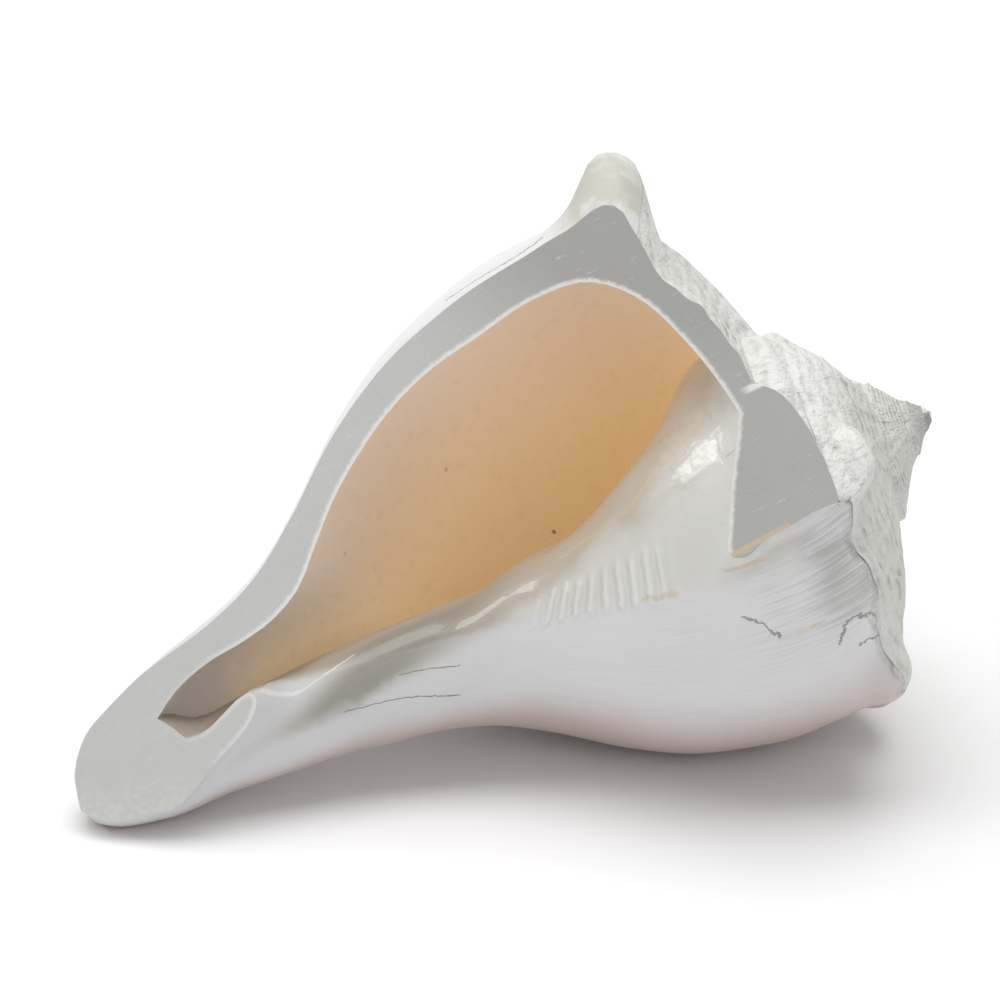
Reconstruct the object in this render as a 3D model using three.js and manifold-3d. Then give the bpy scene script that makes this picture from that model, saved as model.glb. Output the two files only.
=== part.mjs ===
// Left-handed whelk shell with its outer lip ground flat, resting on its back. Millimetres, +Z up.
// Growth frame: a runs along the coiling axis from the apex, v points to the lip, w to the ground face.
// Turn t counts growth in whole turns; t = 0 is the widest part of the lip, earlier whorls are negative.
import * as THREE from "three";
import Module from "manifold-3d";

// ---- driving dimensions
const LENGTH = 160; // apex to canal tip along the axis
const LIP_TURN = 75 / 360; // where the last whorl stops
const SPIRE_TURNS = 3; // whorls of spire inside the last one
const GROWTH_EARLY = 0.95; // natural log of size per turn, before the slow-down
const GROWTH_LATE = 0.45; // and after it
const GROWTH_CHANGE = -0.32; // turn of the slow-down
const GROWTH_BLEND = 0.08; // turns it takes
const REACH_POWER = 0.9; // axial reach grows a little slower than the radius
const SHOULDER = [36, 52.5]; // shoulder of the whorl at t = 0: along the axis, radius
const SUTURE = 42; // where the next whorl is attached, along the axis, at full size
const GROUND = { height: 33.5, at: 35, tilt: 0.2, roll: 0.15 }; // ground plane over the axis
const CANAL_BEND = 6; // rise of the canal towards the ground side
const REST = { dip: 21.47, roll: 57.5, under: 59 }; // canal down, lip up, degrees; worn foot under the axis
const WALL_STEPS = { turn: 66, ramp: 6, short: 2, flank: 18, hollow: 16, inner: 8 };
const RAMP_ROWS = [0, 0.25, 0.5, 0.7, 0.84, 0.93, 1]; // shares of the ramp, closer together by the knobs

// outline of the last whorl below the shoulder: along the axis, radius
const FLANK = [
  [36, 52.5], [42, 55.2], [52, 56], [60, 55.3], [68, 53.3], [82, 48], [92, 41.5], [104, 31.5], [113, 25],
  [124, 20], [140, 15.8], [152, 11], [160, 8],
];
// outline of the siphonal canal
const SPOUT = [[60, 9], [80, 15], [100, 19.5], [113, 20.5], [124, 19.4], [140, 15.4], [152, 11], [160, 8]];
// how much of the spout outline is left, by turn
const SPOUT_SHARE = [
  [-1.5, 0.22], [-1, 0.31], [-0.85, 0.34], [-0.7, 0.37], [-0.5, 0.48], [-0.25, 0.7], [0, 1], [0.25, 1],
];
// inner face of the wall round the hollow
const HOLLOW = [
  [26, 26], [28.8, 32.4], [32.1, 38.5], [36.5, 45], [42.5, 49], [52, 49.5], [63.3, 47.2], [73.2, 45],
  [82, 41.4], [89, 37.2], [95.7, 32.2], [101, 27], [106, 22], [112, 18.8], [118, 17], [126, 15.2],
  [134, 11.6], [138.5, 7], [140, 2],
];
// shoulder knobs: turn angle in degrees, height at t = 0 size, half width in degrees
const KNOBS = [
  [22, 12, 8], [-32, 9, 8.5], [-74, 8.5, 8.5], [-114, 7.5, 8.5], [-152, 6.5, 8], [-188, 6, 8],
  [-230, 5, 7], [-262, 8, 10], [-346, 2, 8],
];
const SMALL_KNOB = { first: -390, step: 40, height: 2.5, wide: 8 };
const KNOB_BLUNT = 3; // how flat the tops of the knobs are
const KNOB_LEAN = 0.03; // turns by which the tallest knob leans back
const FOLD = 8; // height of the fold at the end of the canal, its crest ground away
const SWELL = 7; // height of the pad beside the end of the lip, most of it ground away

const TAU = 2 * Math.PI;
const clamp = (x, lo, hi) => Math.min(Math.max(x, lo), hi);

function smooth(edge0, edge1, x) {
  const u = clamp((x - edge0) / (edge1 - edge0), 0, 1);
  return u * u * (3 - 2 * u);
}

// Smooth curve through knots: x positions, values of any width.
function curve(xs, ys, x) {
  const last = xs.length - 1;
  let k = 0;
  while (k < last - 1 && x > xs[k + 1]) k += 1;
  const slope = (i) => ys[i + 1].map((y, c) => (y - ys[i][c]) / (xs[i + 1] - xs[i]));
  const tangent = (i) => {
    if (i === 0) return slope(0);
    if (i === last) return slope(last - 1);
    const before = xs[i] - xs[i - 1];
    const after = xs[i + 1] - xs[i];
    const s = slope(i);
    return slope(i - 1).map((q, c) => (q * after + s[c] * before) / (before + after));
  };
  const h = xs[k + 1] - xs[k];
  const u = clamp((x - xs[k]) / h, 0, 1);
  const m0 = tangent(k);
  const m1 = tangent(k + 1);
  return ys[k].map((y, c) => y * (1 + 2 * u) * (1 - u) ** 2 + m0[c] * h * u * (1 - u) ** 2
    + ys[k + 1][c] * u * u * (3 - 2 * u) + m1[c] * h * u * u * (u - 1));
}

// The same through points (x, y), as a height over x.
const over = (points) => {
  const xs = points.map((p) => p[0]);
  const ys = points.map((p) => [p[1]]);
  return (x) => curve(xs, ys, x)[0];
};

// The same by distance along the points, u from 0 to 1.
const through = (points) => {
  const s = [0];
  for (let i = 1; i < points.length; i += 1) {
    s.push(s[i - 1] + Math.hypot(points[i][0] - points[i - 1][0], points[i][1] - points[i - 1][1]));
  }
  const xs = s.map((q) => q / s[s.length - 1]);
  return (u) => curve(xs, points, u);
};

const flankAt = over(FLANK);
const spoutAt = over(SPOUT);
const shareAt = over(SPOUT_SHARE);
const hollowAt = through(HOLLOW);

// ---- growth
const softStep = (u) => GROWTH_BLEND * Math.log1p(Math.exp((u - GROWTH_CHANGE) / GROWTH_BLEND));
const extra = (t) => (GROWTH_EARLY - GROWTH_LATE) * (t - softStep(t) + softStep(0));
const size = (t) => Math.exp(GROWTH_LATE * t + extra(t));
const reach = (t) => size(t) ** REACH_POWER;
const bend = (a) => CANAL_BEND * smooth(80, 165, a);
const sutureX = (t) => SUTURE + 5 * smooth(-1.15, -0.85, t) - 4 * smooth(-1.6, -1.9, t);
const softMax = (x, y, k) => (x + y + Math.sqrt((x - y) ** 2 + k * k)) / 2 - k * 0.1;

function spoutShare(t, a) {
  const oval = 0.8 + 0.2 * Math.cos(TAU * t);
  const e = smooth(134, 148, a);
  return shareAt(clamp(t, -1.5, 0.25)) * (1 - e) + oval * e;
}

// Glaze laid over the body inside the aperture.
function callus(t, x) {
  const grow = (0.4 + 1.2 * smooth(-0.96, -0.84, t)) * (1 - smooth(-0.8, -0.7, t)) * smooth(-1.5, -1.2, t);
  return grow * smooth(44, 54, x) * (1 - 0.6 * smooth(90, 130, x));
}

// Flat-topped pad beside the end of the lip, with a slanting edge on the side of the glaze.
function swell(t, a) {
  const late = Math.max(t + 0.783, -0.047);
  const slant = a - (32.5 + 81 * late + 860 * late ** 2);
  const low = t + 0.009 * smooth(41, 35, a) * smooth(22, 28, a);
  const where = smooth(-0.93, -0.87, t) * smooth(-0.7, -0.725, low);
  return SWELL * where * smooth(5, -5, slant) * smooth(16, 23, a);
}

// Fold that closes the canal near its tip and runs back along the inner side of the groove.
function fold(t, a) {
  const middle = -0.72 + 0.0062 * (a - 141);
  return FOLD * Math.exp(-(((t - middle) / 0.045) ** 2)) * smooth(116, 130, a) * smooth(150, 143, a);
}

// Share by which the body is drawn in deep inside the aperture and worn down at the early shoulders.
function waist(t, x) {
  return 0.24 * smooth(-0.8, -0.93, t) * smooth(66, 92, x) * smooth(150, 120, x)
    + 0.06 * smooth(-0.83, -0.95, t) * smooth(60, 45, x);
}

// Outer radius of the whorl at turn t, at axial distance a.
function radius(t, a) {
  const x = a / reach(t);
  const body = size(t) * flankAt(clamp(x, FLANK[0][0], LENGTH)) * (1 - smooth(150, 175, x));
  const curl = (1 - 0.03 * smooth(0, 0.12, t) * (1 - smooth(80, 100, x))) * (1 - waist(t, x));
  const spout = spoutAt(clamp(a, 60, LENGTH)) * spoutShare(t, a) * smooth(40, 75, a);
  const round = Math.sqrt(1 - clamp((a - 150) / 10, 0, 1) ** 3);
  return (softMax(body * curl, spout, 2.5) + callus(t, x) + swell(t, a) + fold(t, a)) * round;
}

// Height of the knobs at turn t, where spread is their share at this distance from the shoulder.
function knobHeight(t, spread) {
  const deg = t * 360;
  const hill = (at, high, wide) => {
    const bell = Math.exp(-(((deg - at) / wide) ** 2));
    return (high * Math.tanh(KNOB_BLUNT * bell * spread)) / Math.tanh(KNOB_BLUNT);
  };
  let h = 0;
  for (const [at, high, wide] of KNOBS) h += hill(at, high, wide);
  const { first, step, height, wide } = SMALL_KNOB;
  if (deg < first + step / 2) {
    const near = first - step * Math.round((first - deg) / step);
    h += hill(near, height, wide);
  }
  return h * size(t);
}

// One section of the outside at turn t: ramp from the suture to the shoulder, then the flank.
// Each row is the axial distance, the radius and the turns by which the knobs lean back there.
function outerSection(t, whole) {
  const { ramp, short, flank } = WALL_STEPS;
  const joinA = reach(t - 1) * sutureX(t - 1);
  const S = [joinA, radius(t - 1, joinA)];
  const early = smooth(-0.84, -0.97, t);
  const shoulderA = reach(t) * (SHOULDER[0] + 3 * early);
  const H = [shoulderA, radius(t, shoulderA)];
  const gap = Math.hypot(H[0] - S[0], H[1] - S[1]);
  const leave = [0.3 + 0.6 * early, 0.95 - 0.45 * early];
  const rows = [];
  for (let i = 0; i <= ramp; i += 1) {
    const u = RAMP_ROWS[i];
    rows.push([0, 1].map((c) => S[c] * (1 + 2 * u) * (1 - u) ** 2 + gap * leave[c] * u * (1 - u) ** 2
      + H[c] * u * u * (3 - 2 * u) + gap * [0.88, 0.66][c] * u * u * (u - 1)));
  }
  const endA = reach(t) * sutureX(t);
  for (let i = 1; i <= short; i += 1) {
    const a = shoulderA + ((endA - shoulderA) * i) / short;
    rows.push([a, radius(t, a)]);
  }
  for (let i = 1; whole && i <= flank; i += 1) {
    const f = (i / flank) ** 1.12;
    const a = i === flank ? LENGTH - 0.02 : endA + (LENGTH - endA) * f;
    rows.push([a, radius(t, a)]);
  }
  return rows.map(([a, r], i) => {
    const above = (r / size(t) - SHOULDER[1]) / 3.9;
    const below = a / reach(t) - SHOULDER[0];
    const foot = 0.85 * Math.exp(-((below / 4) ** 2)) + 0.15 * Math.exp(-((below / 12) ** 2));
    const spread = i <= ramp ? Math.exp(-(above ** 2)) : foot;
    const h = knobHeight(t, spread) * Math.min(1, (8 * i) / ramp);
    return [a - 0.5 * h, r + 0.87 * h, (KNOB_LEAN * h) / KNOBS[0][1]];
  });
}

// Growth frame to a point (x to the apex, y to the lip, z to the ground side).
const point = (a, r, t) => [-a, r * Math.cos(TAU * t), r * Math.sin(TAU * t) + bend(a)];

// ---- closed surfaces as lists of points and triangles
class Surface {
  constructor() {
    this.points = [];
    this.faces = [];
  }

  add(p) {
    this.points.push(p);
    return this.points.length - 1;
  }

  tri(i, j, k) {
    if (i !== j && j !== k && k !== i) this.faces.push([i, j, k]);
  }

  // Quads between two columns of point numbers.
  band(left, right) {
    for (let i = 0; i + 1 < left.length; i += 1) {
      this.tri(left[i], right[i], right[i + 1]);
      this.tri(left[i], right[i + 1], left[i + 1]);
    }
  }

  // Triangles between two chains that start at the same point.
  zip(one, two, key) {
    let i = 0;
    let j = 0;
    while (i + 1 < one.length || j + 1 < two.length) {
      const stepOne = j + 1 >= two.length || (i + 1 < one.length && key(one[i + 1]) < key(two[j + 1]));
      if (stepOne) {
        this.tri(one[i], one[i + 1], two[j]);
        i += 1;
      } else {
        this.tri(one[i], two[j + 1], two[j]);
        j += 1;
      }
    }
  }

  fan(middle, loop) {
    for (let i = 0; i < loop.length; i += 1) this.tri(middle, loop[(i + 1) % loop.length], loop[i]);
  }
}

// Outside of the shell, filled: the last whorl and the spire inside it, one spiral strip.
function outside() {
  const s = new Surface();
  const n = WALL_STEPS.turn;
  const total = n * (SPIRE_TURNS + 1);
  const start = LIP_TURN - SPIRE_TURNS - 1;
  const shared = WALL_STEPS.ramp + WALL_STEPS.short; // row of the suture on every column
  const columns = [];
  for (let c = 0; c <= total; c += 1) {
    const t = start + c / n;
    const rows = outerSection(t, c >= total - n);
    const joined = c >= n ? columns[c - n][shared] : -1;
    columns.push(rows.map(([a, r, lean], i) => (i === 0 && c >= n ? joined : s.add(point(a, r, t - lean)))));
  }
  for (let c = 0; c < total; c += 1) {
    const rows = c < total - n ? shared + 1 : columns[c].length;
    s.band(columns[c].slice(0, rows), columns[c + 1].slice(0, rows));
  }
  const tip = s.add([-LENGTH, 0, bend(LENGTH)]);
  for (let c = total - n; c < total; c += 1) s.tri(columns[c].at(-1), columns[c + 1].at(-1), tip);
  const key = (i) => -s.points[i][0];
  const outer = columns[total].slice();
  const inner = columns[total - n].slice(shared);
  s.zip([...inner, tip], [...outer, tip], key);
  const loop = [];
  for (let c = 0; c <= n; c += 1) loop.push(columns[c][0]);
  for (let i = shared - 1; i > 0; i -= 1) loop.push(columns[0][i]);
  const mid = [0, 1, 2].map((k) => loop.reduce((q, i) => q + s.points[i][k], 0) / loop.length);
  const apex = s.add([mid[0] + 0.9, mid[1], mid[2]]);
  s.fan(apex, loop);
  return s;
}

// Where the hollow's outer face meets the body inside it: first or last u with room between them.
function meeting(t, from, to) {
  const room = (u) => {
    const [x, r] = hollowAt(u);
    return size(t) * r - radius(t - 1, reach(t) * x) > 0.05;
  };
  let inside = to;
  let outsideU = from;
  if (room(from)) return from;
  for (let i = 0; i < 40; i += 1) {
    const mid = (inside + outsideU) / 2;
    if (room(mid)) inside = mid;
    else outsideU = mid;
  }
  return inside;
}

// The hollow: a tube from deep inside to just past the lip, its inner face the body it winds round.
function hollow() {
  const s = new Surface();
  const { turn, hollow: nOut, inner: nIn } = WALL_STEPS;
  const columns = [];
  for (let c = 3; c <= turn + 2; c += 1) {
    const t = LIP_TURN - 1 + c / turn;
    const clear = 12 * Math.max(0, t - LIP_TURN);
    const top = meeting(t, 0, 0.25);
    const bottom = meeting(t, 1, 0.7);
    const loop = [];
    for (let i = 0; i <= nOut; i += 1) {
      const [x, r] = hollowAt(top + ((bottom - top) * i) / nOut);
      loop.push([reach(t) * x, Math.max(size(t) * r, radius(t - 1, reach(t) * x) + clear)]);
    }
    const high = loop[0][0];
    const low = loop[nOut][0];
    for (let i = 1; i < nIn; i += 1) {
      const a = low + ((high - low) * i) / nIn;
      loop.push([a, radius(t - 1, a) + clear]);
    }
    columns.push(loop.map(([a, r]) => s.add(point(a, r, t))));
  }
  for (let c = 0; c + 1 < columns.length; c += 1) {
    s.band([...columns[c], columns[c][0]], [...columns[c + 1], columns[c + 1][0]]);
  }
  for (const [ring, turnRound] of [[columns[0], false], [columns.at(-1), true]]) {
    // cap between the outer and the inner side of the loop
    const out = ring.slice(0, nOut + 1);
    const back = [ring[0], ...ring.slice(nOut + 1).reverse(), ring[nOut]];
    const before = s.faces.length;
    s.zip(out, back, (i) => -s.points[i][0]);
    if (turnRound) s.faces.splice(before, s.faces.length, ...s.faces.slice(before).map((f) => f.reverse()));
  }
  return s;
}

// Everything beyond a plane, as one big block standing on it.
function beyond(normal, offset) {
  const s = new Surface();
  const n = normal.clone().normalize();
  const side = new THREE.Vector3(1, 0, 0).addScaledVector(n, -n.x).normalize();
  const across = new THREE.Vector3().crossVectors(n, side);
  for (const out of [0, 200]) {
    for (const [p, q] of [[-1, -1], [1, -1], [1, 1], [-1, 1]]) {
      const corner = n.clone().multiplyScalar(offset + out);
      s.add(corner.addScaledVector(side, 300 * p).addScaledVector(across, 300 * q).toArray());
    }
  }
  const quads = [[3, 2, 1, 0], [4, 5, 6, 7], [0, 1, 5, 4], [1, 2, 6, 5], [2, 3, 7, 6], [3, 0, 4, 7]];
  for (const [i, j, k, l] of quads) {
    s.tri(i, j, k);
    s.tri(i, k, l);
  }
  return s;
}

const groundNormal = new THREE.Vector3(-GROUND.tilt, GROUND.roll, 1);
const groundOffset = (GROUND.height + GROUND.tilt * GROUND.at) / groundNormal.length();

// World up in the growth frame when the shell lies at rest.
function restUp() {
  const dip = THREE.MathUtils.degToRad(REST.dip);
  const roll = THREE.MathUtils.degToRad(REST.roll);
  return new THREE.Vector3(Math.sin(dip), Math.cos(dip) * Math.sin(roll), Math.cos(dip) * Math.cos(roll));
}

// The turn from the growth frame to the resting shell, its axis along X.
function restingTurn() {
  const up = restUp();
  const x = new THREE.Vector3(1, 0, 0).addScaledVector(up, -up.x).normalize();
  const y = new THREE.Vector3().crossVectors(up, x);
  return new THREE.Matrix4().set(x.x, x.y, x.z, 0, y.x, y.y, y.z, 0, up.x, up.y, up.z, 0, 0, 0, 0, 1);
}

function solidOf(wasm, surface) {
  const { points, faces } = surface;
  let volume = 0;
  for (const [i, j, k] of faces) {
    const [p, q, r] = [points[i], points[j], points[k]];
    volume += p[0] * (q[1] * r[2] - q[2] * r[1]) + p[1] * (q[2] * r[0] - q[0] * r[2])
      + p[2] * (q[0] * r[1] - q[1] * r[0]);
  }
  const used = new Map();
  const coords = [];
  const corners = faces.flatMap((f) => (volume < 0 ? [f[0], f[2], f[1]] : f)).map((i) => {
    if (!used.has(i)) {
      used.set(i, used.size);
      coords.push(...points[i]);
    }
    return used.get(i);
  });
  const vertProperties = new Float32Array(coords);
  const triVerts = new Uint32Array(corners);
  return new wasm.Manifold(new wasm.Mesh({ numProp: 3, vertProperties, triVerts }));
}

const wasm = await Module();
wasm.setup();
const cuts = [hollow(), beyond(groundNormal, groundOffset), beyond(restUp().negate(), REST.under)];
const shell = cuts.reduce((body, cut) => body.subtract(solidOf(wasm, cut)), solidOf(wasm, outside()));
const { vertProperties, triVerts } = shell.getMesh();

const geometry = new THREE.BufferGeometry();
geometry.setAttribute("position", new THREE.BufferAttribute(new Float32Array(vertProperties), 3));
geometry.setIndex(new THREE.BufferAttribute(new Uint32Array(triVerts), 1));
geometry.applyMatrix4(restingTurn());
geometry.computeBoundingBox();
const { min, max } = geometry.boundingBox;
geometry.translate(-(min.x + max.x) / 2, -(min.y + max.y) / 2, -min.z);
geometry.computeVertexNormals();

const material = new THREE.MeshStandardMaterial({ color: 0xd9d6d6, roughness: 0.45, metalness: 0 });
const mesh = new THREE.Mesh(geometry, material);
mesh.name = "shell";
const group = new THREE.Group();
group.name = "conch shell";
group.add(mesh);
export default group;
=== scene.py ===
"""A large left-handed whelk shell with its lip ground flat, lying on its back.

The shell is one spiral surface. It is worked out in a growth frame: a runs along the coiling axis from the
apex, v points to the lip and w to the ground face. A turn t counts growth, 0 at the widest part of the lip.
"""

import logging
from dataclasses import dataclass, field
from enum import Enum
from typing import Any, Sequence

import bpy
import numpy as np
from mathutils import Matrix, Vector


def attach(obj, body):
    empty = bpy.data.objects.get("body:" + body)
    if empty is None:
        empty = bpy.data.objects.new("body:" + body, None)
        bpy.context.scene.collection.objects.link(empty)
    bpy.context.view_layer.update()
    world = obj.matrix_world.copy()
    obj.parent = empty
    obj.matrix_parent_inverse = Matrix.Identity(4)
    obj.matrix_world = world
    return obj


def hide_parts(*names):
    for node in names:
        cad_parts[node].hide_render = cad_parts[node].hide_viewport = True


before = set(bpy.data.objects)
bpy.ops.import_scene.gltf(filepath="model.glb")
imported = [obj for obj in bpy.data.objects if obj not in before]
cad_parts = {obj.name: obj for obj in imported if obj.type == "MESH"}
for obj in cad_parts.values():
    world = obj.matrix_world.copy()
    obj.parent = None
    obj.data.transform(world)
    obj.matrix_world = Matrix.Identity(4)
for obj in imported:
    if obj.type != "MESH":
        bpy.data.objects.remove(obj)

Array = np.ndarray
LOG = logging.getLogger("shell")
TAU = 2.0 * np.pi
MM = 0.001
NOISE_CELLS = 64
HALVINGS = 40


class Face(Enum):
    """Which surface of the shell a face belongs to; the value is its material slot."""

    OUTSIDE = 0
    HOLLOW = 1
    GROUND = 2
    FOOT = 3


# ---------------------------------------------------------------- curves


def smooth(edge0: float, edge1: float, x: Array) -> Array:
    """Smooth step from 0 at edge0 to 1 at edge1.

    Args:
        edge0: where the step starts.
        edge1: where it ends.
        x: positions.

    Returns:
        3u squared less 2u cubed, with u the clamped share of the way.
    """
    u = np.clip((x - edge0) / (edge1 - edge0), 0.0, 1.0)
    return u * u * (3.0 - 2.0 * u)


def soft_max(x: Array, y: Array, k: float) -> Array:
    """Larger of two heights with a rounded join.

    Args:
        x: one height.
        y: the other.
        k: size of the rounding.

    Returns:
        Half of sum plus root of squared difference and k squared, less a tenth of k.
    """
    return (x + y + np.sqrt((x - y) ** 2 + k * k)) / 2.0 - 0.1 * k


def noise(x: Array, y: Array, seed: int) -> Array:
    """Smooth value noise between -1 and 1 on a grid of whole numbers.

    Args:
        x: first coordinate.
        y: second coordinate.
        seed: which noise.

    Returns:
        Random corner values blended by smooth steps.
    """
    n = NOISE_CELLS
    table = np.random.default_rng(seed).uniform(-1.0, 1.0, (n, n))
    i, j = np.floor(x).astype(int), np.floor(y).astype(int)
    u, v = x - i, y - j
    u, v = u * u * (3.0 - 2.0 * u), v * v * (3.0 - 2.0 * v)
    i, j, i1, j1 = i % n, j % n, (i + 1) % n, (j + 1) % n
    near = table[i, j] * (1 - u) + table[i1, j] * u
    far = table[i, j1] * (1 - u) + table[i1, j1] * u
    return near * (1 - v) + far * v


@dataclass(frozen=True)
class Outline:
    """A smooth curve through a few points."""

    points: tuple[tuple[float, float], ...]

    def _hermite(self, knots: Array, x: Array) -> Array:
        """Cubic pieces whose slopes are the weighted means of their neighbours.

        Args:
            knots: place of each point.
            x: places wanted.

        Returns:
            Points on the curve.
        """
        p = np.asarray(self.points, float)
        h = np.diff(knots)
        slope = np.diff(p, axis=0) / h[:, None]
        m = np.empty_like(p)
        m[0], m[-1] = slope[0], slope[-1]
        m[1:-1] = (slope[:-1] * h[1:, None] + slope[1:] * h[:-1, None]) / (h[:-1] + h[1:])[:, None]
        k = np.clip(np.searchsorted(knots, x, side="right") - 1, 0, len(h) - 1)
        u = np.clip((x - knots[k]) / h[k], 0.0, 1.0)[..., None]
        step = h[k][..., None]
        return (p[k] * (1 + 2 * u) * (1 - u) ** 2 + m[k] * step * u * (1 - u) ** 2
                + p[k + 1] * u * u * (3 - 2 * u) + m[k + 1] * step * u * u * (u - 1))

    def over(self, x: Array) -> Array:
        """Height of the curve over its first coordinate."""
        return self._hermite(np.asarray(self.points, float)[:, 0], np.asarray(x, float))[..., 1]

    def along(self, u: Array) -> Array:
        """Points at shares u of the distance along the curve.

        Args:
            u: the shares, 0 to 1.

        Returns:
            Both coordinates of each point.
        """
        steps = np.hypot(*np.diff(np.asarray(self.points, float), axis=0).T)
        s = np.concatenate([[0.0], np.cumsum(steps)])
        return self._hermite(s / s[-1], np.asarray(u, float))


# ---------------------------------------------------------------- the form


@dataclass(frozen=True)
class Growth:
    """Size against turns: the natural log of size is two straight lines with a soft corner between them."""

    early: float = 0.95
    late: float = 0.45
    change: float = -0.32
    blend: float = 0.08
    reach_power: float = 0.9

    def _corner(self, t: Array) -> Array:
        """The soft corner: 0 well before the change, turns past it well after."""
        return self.blend * np.log1p(np.exp((t - self.change) / self.blend))

    def size(self, t: Array) -> Array:
        """Radial size at turn t, 1 at t = 0."""
        return np.exp(self.late * t + (self.early - self.late) * (t - self._corner(t) + self._corner(0.0)))

    def reach(self, t: Array) -> Array:
        """Axial size at turn t: radial size to a power a little under 1."""
        return self.size(t) ** self.reach_power


@dataclass(frozen=True)
class Knob:
    """One shoulder knob: its angle in degrees, its height at full size, and its half width in degrees."""

    at: float
    height: float
    wide: float


@dataclass(frozen=True)
class Fold:
    """The fold that closes the canal: height, half width in turns, and course, a turn at a distance."""

    height: float = 8.0
    wide: float = 0.045
    turn: float = -0.72
    at: float = 141.0
    twist: float = 0.0062


@dataclass(frozen=True)
class ShellForm:
    """The whole shell as functions of turn t and axial distance a, in millimetres."""

    growth: Growth = Growth()
    length: float = 160.0
    lip_turn: float = 75.0 / 360.0
    spire_turns: int = 3
    shoulder: tuple[float, float] = (36.0, 52.5)
    canal_bend: float = 6.0
    suture_at: float = 42.0
    suture_late: float = 5.0
    suture_early: float = -4.0
    pad: float = 7.0
    fold_shape: Fold = Fold()
    waist_deep: float = 0.24
    waist_early: float = 0.06
    glaze_thin: float = 0.4
    glaze_thick: float = 1.2
    lip_curl: float = 0.03
    canal_oval: float = 0.2
    canal_join: float = 2.5
    tip_round: float = 10.0
    flank: Outline = Outline(((36, 52.5), (42, 55.2), (52, 56), (60, 55.3), (68, 53.3), (82, 48), (92, 41.5),
                              (104, 31.5), (113, 25), (124, 20), (140, 15.8), (152, 11), (160, 8)))
    spout: Outline = Outline(((60, 9), (80, 15), (100, 19.5), (113, 20.5), (124, 19.4), (140, 15.4),
                              (152, 11), (160, 8)))
    spout_share: Outline = Outline(((-1.5, 0.22), (-1, 0.31), (-0.85, 0.34), (-0.7, 0.37), (-0.5, 0.48),
                                    (-0.25, 0.7), (0, 1), (0.25, 1)))
    hollow: Outline = Outline(((26, 26), (28.8, 32.4), (32.1, 38.5), (36.5, 45), (42.5, 49), (52, 49.5),
                               (63.3, 47.2), (73.2, 45), (82, 41.4), (89, 37.2), (95.7, 32.2), (101, 27),
                               (106, 22), (112, 18.8), (118, 17), (126, 15.2), (134, 11.6), (138.5, 7),
                               (140, 2)))
    knobs: tuple[Knob, ...] = (Knob(22, 12, 8), Knob(-32, 9, 8.5), Knob(-74, 8.5, 8.5), Knob(-114, 7.5, 8.5),
                               Knob(-152, 6.5, 8), Knob(-188, 6, 8), Knob(-230, 5, 7), Knob(-262, 8, 10),
                               Knob(-346, 2, 8))
    early_knob: Knob = Knob(-390, 2.5, 8)
    early_step: float = 40.0
    lean: float = 0.03
    blunt: float = 3.0
    knob_push: tuple[float, float] = (-0.5, 0.87)
    knob_above: float = 3.9
    knob_below: tuple[float, float] = (4.0, 12.0)
    ground_height: float = 33.5
    ground_at: float = 35.0
    ground_tilt: float = 0.2
    ground_roll: float = 0.15
    rest_dip: float = 21.47
    rest_roll: float = 57.5
    rest_under: float = 59.0

    def bend(self, a: Array) -> Array:
        """How far the canal rises towards the ground side."""
        return self.canal_bend * smooth(80, 165, a)

    def suture(self, t: Array) -> Array:
        """Axial place, at full size, where the next whorl is attached."""
        late, early = smooth(-1.15, -0.85, t), smooth(-1.6, -1.9, t)
        return self.suture_at + self.suture_late * late + self.suture_early * early

    def swell(self, t: Array, a: Array) -> Array:
        """Height of the flat-topped pad beside the end of the lip.

        Args:
            t: turn.
            a: axial distance.

        Returns:
            The height: full between a curved slanting edge on the side of the glaze, a lower edge with a
            small step in it, and the spire.
        """
        late = np.maximum(t + 0.783, -0.047)
        slant = a - (32.5 + 81.0 * late + 860.0 * late**2)
        low = smooth(-0.7, -0.725, t + 0.009 * smooth(41, 35, a) * smooth(22, 28, a))
        return self.pad * smooth(-0.93, -0.87, t) * low * smooth(5.0, -5.0, slant) * smooth(16, 23, a)

    def fold(self, t: Array, a: Array) -> Array:
        """Height of the fold that closes the canal near its tip and runs back beside the groove.

        Args:
            t: turn.
            a: axial distance.

        Returns:
            A bell across the fold's course, faded out at both of its ends.
        """
        f = self.fold_shape
        off = (t - f.turn - f.twist * (a - f.at)) / f.wide
        return f.height * np.exp(-(off**2)) * smooth(116, 130, a) * smooth(150, 143, a)

    def waist(self, t: Array, x: Array) -> Array:
        """Share by which the body is drawn in deep inside the mouth and worn down at the early shoulders."""
        deep = smooth(-0.8, -0.93, t) * smooth(66, 92, x) * smooth(150, 120, x)
        return self.waist_deep * deep + self.waist_early * smooth(-0.83, -0.95, t) * smooth(60, 45, x)

    def callus(self, t: Array, x: Array) -> Array:
        """Thickness of the glaze laid over the body inside the mouth.

        Args:
            t: turn.
            x: axial distance at full size.

        Returns:
            The thickness, greatest beside the mouth.
        """
        grow = self.glaze_thin + self.glaze_thick * smooth(-0.96, -0.84, t)
        grow = grow * (1 - smooth(-0.8, -0.7, t)) * smooth(-1.5, -1.2, t)
        return grow * smooth(44, 54, x) * (1 - 0.6 * smooth(90, 130, x))

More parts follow.
